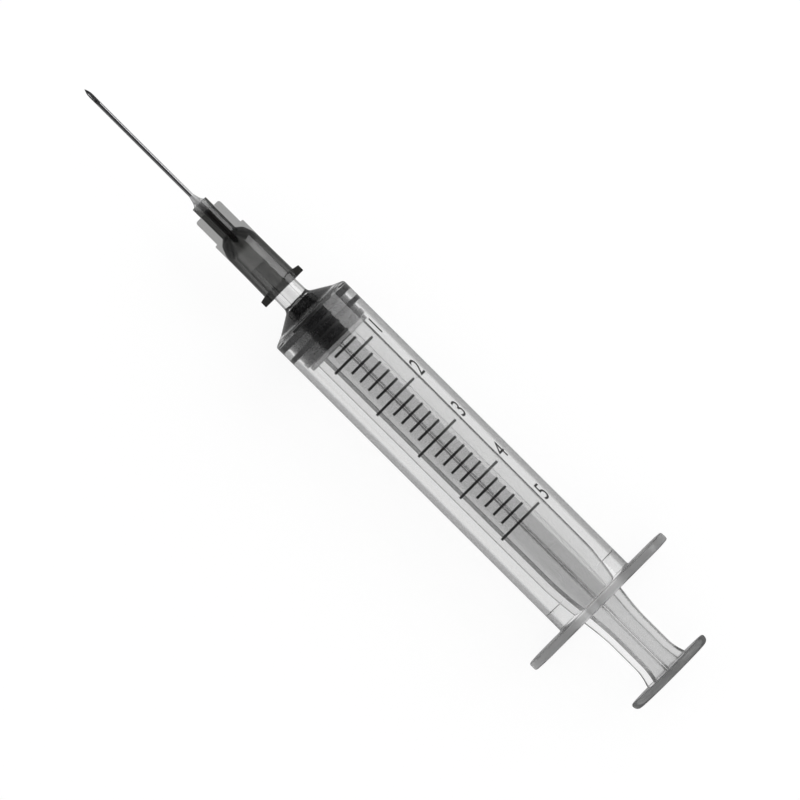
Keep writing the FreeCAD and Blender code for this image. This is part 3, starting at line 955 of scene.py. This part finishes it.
hub_points = [
    (HUB_FACE, 0, 0),
    (HUB_FACE, BOSS_R, 0.1 * MM),
    (BOSS_END, BOSS_R, 0.1 * MM),
    (BOSS_END + 0.75 * MM, 2.2 * MM, 1.2 * MM),
    (BODY_START - 0.4 * MM, HUB_R - HUB_DRAFT * (HUB_MOUTH - BODY_START), 3.0 * MM),
    (COLLAR_FRONT, HUB_R - HUB_DRAFT * (HUB_MOUTH - COLLAR_FRONT), 0.1 * MM),
    (COLLAR_FRONT, HUB_R + 0.2 * MM, 0.07 * MM),
    (HUB_MOUTH, HUB_R + 0.2 * MM, 0.07 * MM),
    (HUB_MOUTH, 0, 0),
]
core_points = [
    (HUB_FACE - CUT_CLEAR, 0, 0),
    (HUB_FACE - CUT_CLEAR, 1.01 * MM, 0),
    (HUB_FACE + 1.5 * MM, 0.55 * MM, 0.1 * MM),
    (HUB_FACE + 1.5 * MM, TUBE_GRIP_R, 0),
    (TUBE_END, TUBE_GRIP_R, 0),
    (TUBE_END, 0.75 * MM, 0.1 * MM),
    (SOCKET_FLOOR, SOCKET_MOUTH_R - SOCKET_SLOPE * (HUB_MOUTH - SOCKET_FLOOR), 1.2 * MM),
    (HUB_MOUTH + CUT_CLEAR, SOCKET_MOUTH_R + SOCKET_SLOPE * CUT_CLEAR, 0),
    (HUB_MOUTH + CUT_CLEAR, 0, 0),
]


# %% Fins and lugs
FIN_THICKNESS = 0.85 * MM
LUG_R = 3.88 * MM
LUG_WIDTH = 3.4 * MM


def plate_mesh(name, points, thickness, turn, material):
    """Flat plate through the axis from (x, reach, corner radius) points, with both ends on it."""
    upper = rounded(points)[1:-1]
    loop = upper + [Vector((p.x, -p.y)) for p in reversed(upper)]
    across = Vector((0, math.cos(turn), math.sin(turn)))
    normal = Vector((0, -math.sin(turn), math.cos(turn)))
    work = bmesh.new()
    sides = []
    for side in (-0.5, 0.5):
        sides.append([
            work.verts.new(Vector((p.x, 0, AXIS_Z)) + across * p.y + normal * thickness * side)
            for p in loop
        ])
    work.faces.new(list(reversed(sides[0])))
    work.faces.new(sides[1])
    for i in range(len(loop)):
        j = (i + 1) % len(loop)
        work.faces.new((sides[0][i], sides[0][j], sides[1][j], sides[1][i]))
    mesh = bpy.data.meshes.new(name)
    work.to_mesh(mesh)
    work.free()
    mesh.materials.append(material)
    return tidy_mesh(mesh)


fin_points = [
    (HUB_FACE + 1.7 * MM, 0, 0),
    (HUB_FACE + 1.7 * MM, 2.42 * MM, 0.4 * MM),
    (BOSS_END, 2.42 * MM, 0.1 * MM),
    (BOSS_END, 2.86 * MM, 0.2 * MM),
    (HUB_FACE + 13.2 * MM, 2.86 * MM, 0),
    (HUB_FACE + 14.0 * MM, 2.6 * MM, 0),
    (HUB_FACE + 14.0 * MM, 0, 0),
]
lug_points = [
    (COLLAR_FRONT + 0.01 * MM, 0, 0),
    (COLLAR_FRONT + 0.01 * MM, HUB_R, 0.05 * MM),
    (COLLAR_FRONT + 0.2 * MM, LUG_R, 0.15 * MM),
    (HUB_MOUTH - 0.01 * MM, LUG_R, 0.1 * MM),
    (HUB_MOUTH - 0.01 * MM, 0, 0),
]

# %% Hub
hub_mesh = combined_mesh("hub_smoky", turned_mesh("hub_body", hub_points, hub_plastic), [
    ("UNION", plate_mesh("hub_fins_level", fin_points, FIN_THICKNESS, 0, hub_plastic)),
    ("UNION", plate_mesh("hub_fins_upright", fin_points, FIN_THICKNESS, math.pi / 2, hub_plastic)),
    ("UNION", plate_mesh("hub_lugs", lug_points, LUG_WIDTH, 0, hub_plastic)),
    ("DIFFERENCE", turned_mesh("hub_core", core_points, hub_plastic)),
])
finished("hub_smoky", hub_mesh, "needle", "smoky_hub", "needle_hub")

# %% [markdown]
# ## Glue and needle tube
# A drop of clear glue creeps up the tube in front of the hub and fills the well behind. It wets
# both, so it reaches 0.02 mm into each and leaves no film of air. The steel tube has its right
# shape in the CAD model already, point and bore included, so a copy of that mesh is merged and
# shaded smooth.

# %% Glue
glue_points = [
    (HUB_FACE - 1.6 * MM, TUBE_GRIP_R, 0),
    (HUB_FACE - 1.6 * MM, 0.38 * MM, 0.02 * MM),
    (HUB_FACE - 0.5 * MM, 0.66 * MM, 1.5 * MM),
    (HUB_FACE, 1.0 * MM, 0),
    (HUB_FACE + 1.5 * MM, 0.57 * MM, 0),
    (HUB_FACE + 1.5 * MM, TUBE_GRIP_R, 0),
    (HUB_FACE - 1.6 * MM, TUBE_GRIP_R, 0),
]
finished(
    "glue_drop", turned_mesh("glue_drop", glue_points, glue),
    "needle", "clear_adhesive", "needle_adhesive",
)

# %% Needle tube
tube_mesh = bpy.data.objects["needle_cannula"].data.copy()
tube_mesh.name = "needle_tube"
tube_mesh.materials.clear()
tube_mesh.materials.append(steel)
tidy_mesh(tube_mesh)
finished("needle_tube", tube_mesh, "needle", "needle_steel", "needle_cannula")
print("needle tube", len(tube_mesh.polygons), "faces")

# %% [markdown]
# ## Printed scale
# The scale counts 5 ml in steps of 0.2 ml. Each long mark stands for a whole millilitre. All
# marks are arcs of ink on the barrel's skin. Geometry Nodes place a point for every mark, put
# the long arc on each fifth point and the short one on the others, and bend both round the
# barrel. A Solidify modifier then gives the ink its thickness.

# %% Scale tree
ZERO_X = TIP_X + 47.1 * MM
MARK_PITCH = 1.723 * MM
MARK_COUNT = 26
MARKS_PER_ML = 5
MARK_WIDTH = 0.4 * MM
MARK_ROWS = 17
INK_R = BARREL_R + 0.006 * MM
INK_THICKNESS = 0.015 * MM


def scale_tree():
    """Geometry Nodes: a row of ink arcs round the barrel, with every fifth one long."""
    floats = ("Pitch", "Start", "Width", "Radius", "Axis Height",
              "Short Low", "Short High", "Long Low", "Long High")
    inputs = [("Count", "Int"), ("Finish", "Material")] + [(label, "Float") for label in floats]
    tree, given, result = geometry_tree("scale", inputs, "Marks")
    link = tree.links.new
    start = add_node(tree, "ShaderNodeCombineXYZ")
    step = add_node(tree, "ShaderNodeCombineXYZ")
    row = add_node(tree, "GeometryNodeMeshLine", mode="OFFSET")
    index = add_node(tree, "GeometryNodeInputIndex")
    join = add_node(tree, "GeometryNodeJoinGeometry")
    link(given.outputs["Start"], start.inputs["X"])
    link(given.outputs["Pitch"], step.inputs["X"])
    link(given.outputs["Count"], row.inputs["Count"])
    link(start.outputs[0], row.inputs["Start Location"])
    link(step.outputs[0], row.inputs["Offset"])
    fifth = math_socket(tree, "MODULO", index.outputs[0], MARKS_PER_ML)
    for label, test in (("Short", "GREATER_THAN"), ("Long", "LESS_THAN")):
        bar = add_node(tree, "GeometryNodeMeshGrid", Size_Y=1.0, Vertices_X=2, Vertices_Y=MARK_ROWS)
        corner = add_node(tree, "GeometryNodeInputPosition")
        apart = add_node(tree, "ShaderNodeSeparateXYZ")
        bend = add_node(tree, "GeometryNodeSetPosition")
        stamp = add_node(tree, "GeometryNodeInstanceOnPoints")
        link(given.outputs["Width"], bar.inputs["Size X"])
        link(corner.outputs[0], apart.inputs[0])
        angle = map_socket(tree, apart.outputs["Y"], given.outputs[label + " Low"],
                           given.outputs[label + " High"], -0.5, 0.5)
        place = turned_place(tree, apart.outputs["X"], given.outputs["Radius"], angle,
                             given.outputs["Axis Height"], ("SINE", "COSINE"))
        link(bar.outputs["Mesh"], bend.inputs["Geometry"])
        link(place, bend.inputs["Position"])
        link(row.outputs["Mesh"], stamp.inputs["Points"])
        link(math_socket(tree, test, fifth, 0.5), stamp.inputs["Selection"])
        link(bend.outputs[0], stamp.inputs["Instance"])
        link(stamp.outputs[0], join.inputs[0])
    hand_out(tree, join.outputs[0], given, result)
    return tree


# %% Scale marks
def add_ink_thickness(obj):
    """Gives flat ink its thickness outwards."""
    modifier = obj.modifiers.new("ink thickness", "SOLIDIFY")
    modifier.thickness = INK_THICKNESS
    modifier.offset = 1.0


scale_blank = add_object("scale_blank", bpy.data.meshes.new("scale_blank"))
scale_modifier = scale_blank.modifiers.new("scale", "NODES")
scale_modifier.node_group = scale_tree()
add_ink_thickness(scale_blank)
for label, value in (
    ("Count", MARK_COUNT), ("Pitch", MARK_PITCH), ("Start", ZERO_X), ("Width", MARK_WIDTH),
    ("Radius", INK_R), ("Axis Height", AXIS_Z),
    ("Short Low", math.radians(-15.7)), ("Short High", math.radians(20.0)),
    ("Long Low", math.radians(-31.4)), ("Long High", math.radians(35.9)), ("Finish", ink),
):
    set_input(scale_modifier, label, value)
marks_mesh = tidy_mesh(evaluated_mesh("scale_marks", scale_blank))
finished("scale_marks", marks_mesh, "barrel", "black_rubber")
print("scale marks", len(marks_mesh.polygons), "faces")

# %% [markdown]
# ## Printed numbers
# Plain numbers from 1 to 5 stand beyond the long marks, upright when the needle points up. Each
# is a text curve made a mesh. Long faces can't bend, so the glyph is first cut into strips,
# and then every point is rolled on to the barrel, as the printing drum does.

# %% Numbers
NUMBER_SIZE = 4.1 * MM
NUMBER_NARROWING = 0.78
NUMBER_ANGLE = math.radians(53)
NUMBER_LEAD = 0.7 * MM
STRIP = 0.2 * MM


def number_mesh(text, work):
    """Adds one bent number to the mesh under work, standing in front of its long mark."""
    curve = bpy.data.curves.new("number", "FONT")
    curve.body = text
    curve.size = NUMBER_SIZE
    curve.align_x = "CENTER"
    curve.align_y = "CENTER"
    glyph_object = add_object("number_" + text, curve)
    glyph = bmesh.new()
    glyph.from_mesh(evaluated_mesh("number_" + text, glyph_object))
    low = min(v.co.x for v in glyph.verts)
    high = max(v.co.x for v in glyph.verts)
    for cut in range(1, math.ceil((high - low) / STRIP)):
        parts = glyph.verts[:] + glyph.edges[:] + glyph.faces[:]
        place = (low + cut * STRIP, 0, 0)
        bmesh.ops.bisect_plane(glyph, geom=parts, plane_co=place, plane_no=(1, 0, 0))
    station = ZERO_X + int(text) * MARKS_PER_ML * MARK_PITCH - NUMBER_LEAD
    for vertex in glyph.verts:
        angle = NUMBER_ANGLE + vertex.co.x * NUMBER_NARROWING / INK_R
        across, up = INK_R * math.sin(angle), INK_R * math.cos(angle)
        vertex.co = (station - vertex.co.y, across, AXIS_Z + up)
    bent = bpy.data.meshes.new("bent")
    glyph.to_mesh(bent)
    glyph.free()
    work.from_mesh(bent)


number_work = bmesh.new()
for text in "12345":
    number_mesh(text, number_work)
bmesh.ops.remove_doubles(number_work, verts=number_work.verts, dist=WELD)
bmesh.ops.recalc_face_normals(number_work, faces=number_work.faces)
flat_numbers = bpy.data.meshes.new("numbers")
number_work.to_mesh(flat_numbers)
number_work.free()
flat_numbers.materials.append(ink)
numbers_blank = add_object("numbers_blank", flat_numbers)
add_ink_thickness(numbers_blank)
numbers_mesh = tidy_mesh(evaluated_mesh("scale_numbers", numbers_blank))
finished("scale_numbers", numbers_mesh, "barrel", "black_rubber")
print("scale numbers", len(numbers_mesh.polygons), "faces")

# %% [markdown]
# ## Finish
# The colours are shown with the Standard view transform. The dressed syringe has to
# stay inside the CAD model's box.

# %% Finish
bpy.context.scene.view_settings.view_transform = "Standard"
